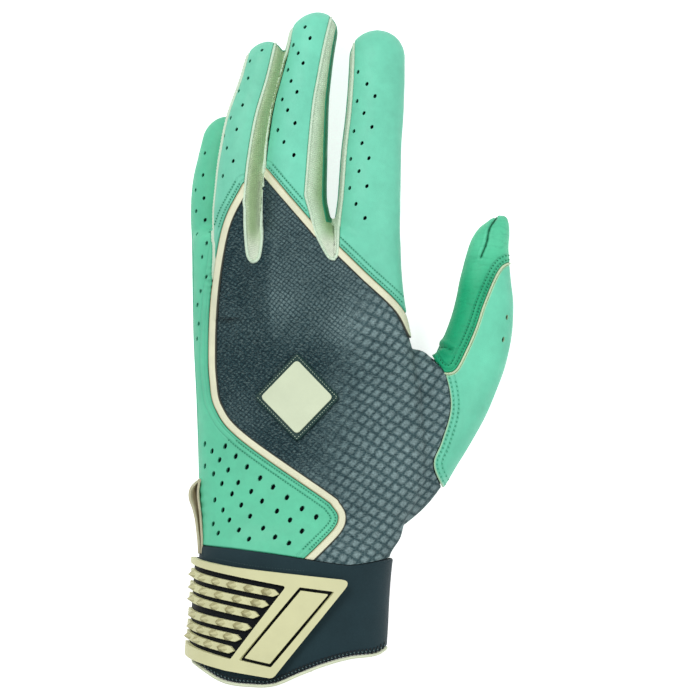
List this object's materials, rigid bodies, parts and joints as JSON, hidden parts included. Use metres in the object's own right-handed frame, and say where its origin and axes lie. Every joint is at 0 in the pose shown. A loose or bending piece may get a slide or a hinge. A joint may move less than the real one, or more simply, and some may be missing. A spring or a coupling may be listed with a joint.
{
  "type": "batting glove",
  "caption": "Left-hand batting glove filled as on a hand: leather palm and fingers, knit back, stretch gussets, cuff and a ribbed wrist strap that folds open.",
  "frame": {"origin": "on the flat rest of the palm, under the middle of the back, where the glove lies on a table", "axes": "+Y from the wrist to the fingertips, +X to the thumb side, +Z out of the back of the hand"},
  "size_m": [0.1193, 0.244, 0.0454],
  "materials": {
    "back_leather": "soft leather, matt",
    "thumb_inner_leather": "soft leather, matt",
    "palm_leather": "soft leather, matt",
    "gusset_knit": "fine stretch knit",
    "back_knit": "fuzzy two-tone stretch knit",
    "trim_binding": "smooth folded binding",
    "piping": "smooth folded binding",
    "badge_base": "moulded, satin",
    "badge_face": "moulded, satin",
    "cuff_fabric": "smooth stretch jersey",
    "cuff_lining": "brushed jersey",
    "loop_pile": "loop pile",
    "hook_tape": "hook tape",
    "strap_rubber": "moulded, satin",
    "tab_webbing": "woven tape"
  },
  "bodies": {
    "glove": {"pinky_back_leather": "back_leather", "ring_back_leather": "back_leather", "middle_back_leather": "back_leather", "index_back_leather": "back_leather", "back_knit_panel": "back_knit", "trim_left": "trim_binding", "trim_middle": "trim_binding", "trim_index": "trim_binding", "gusset_index_left": "gusset_knit", "gusset_middle_right": "gusset_knit", "gusset_middle_left": "gusset_knit", "gusset_ring_right": "gusset_knit", "gusset_ring_left": "gusset_knit", "gusset_pinky_right": "gusset_knit", "palm_leather": "palm_leather", "pinky_front_leather": "palm_leather", "ring_front_leather": "palm_leather", "middle_front_leather": "palm_leather", "index_front_leather": "palm_leather", "thumb_back_leather": "back_leather", "thumb_inner_leather": "thumb_inner_leather", "thumb_front_leather": "palm_leather", "thumb_piping": "piping", "badge_base": "badge_base", "badge_face": "badge_face", "cuff_band": "cuff_fabric", "cuff_hem_binding": "piping", "cuff_lining": "cuff_lining", "loop_patch": "loop_pile", "strap_anchor": "cuff_fabric", "pull_tab": "tab_webbing"},
    "strap_flap": {"strap_backing": "cuff_fabric", "hook_patch": "hook_tape", "strap_plate": "strap_rubber", "strap_label_panel": "strap_rubber", "strap_rib_1": "strap_rubber", "strap_rib_2": "strap_rubber", "strap_rib_3": "strap_rubber", "strap_rib_4": "strap_rubber", "strap_rib_5": "strap_rubber", "strap_rib_6": "strap_rubber"}
  },
  "joints": [
    {"name": "strap_fold", "type": "hinge", "parent": "glove", "child": "strap_flap", "pos_m": [-0.0423, -0.0775, 0.02225], "axis": [0, -1, 0], "range_deg": [0, 140]}
  ]
}
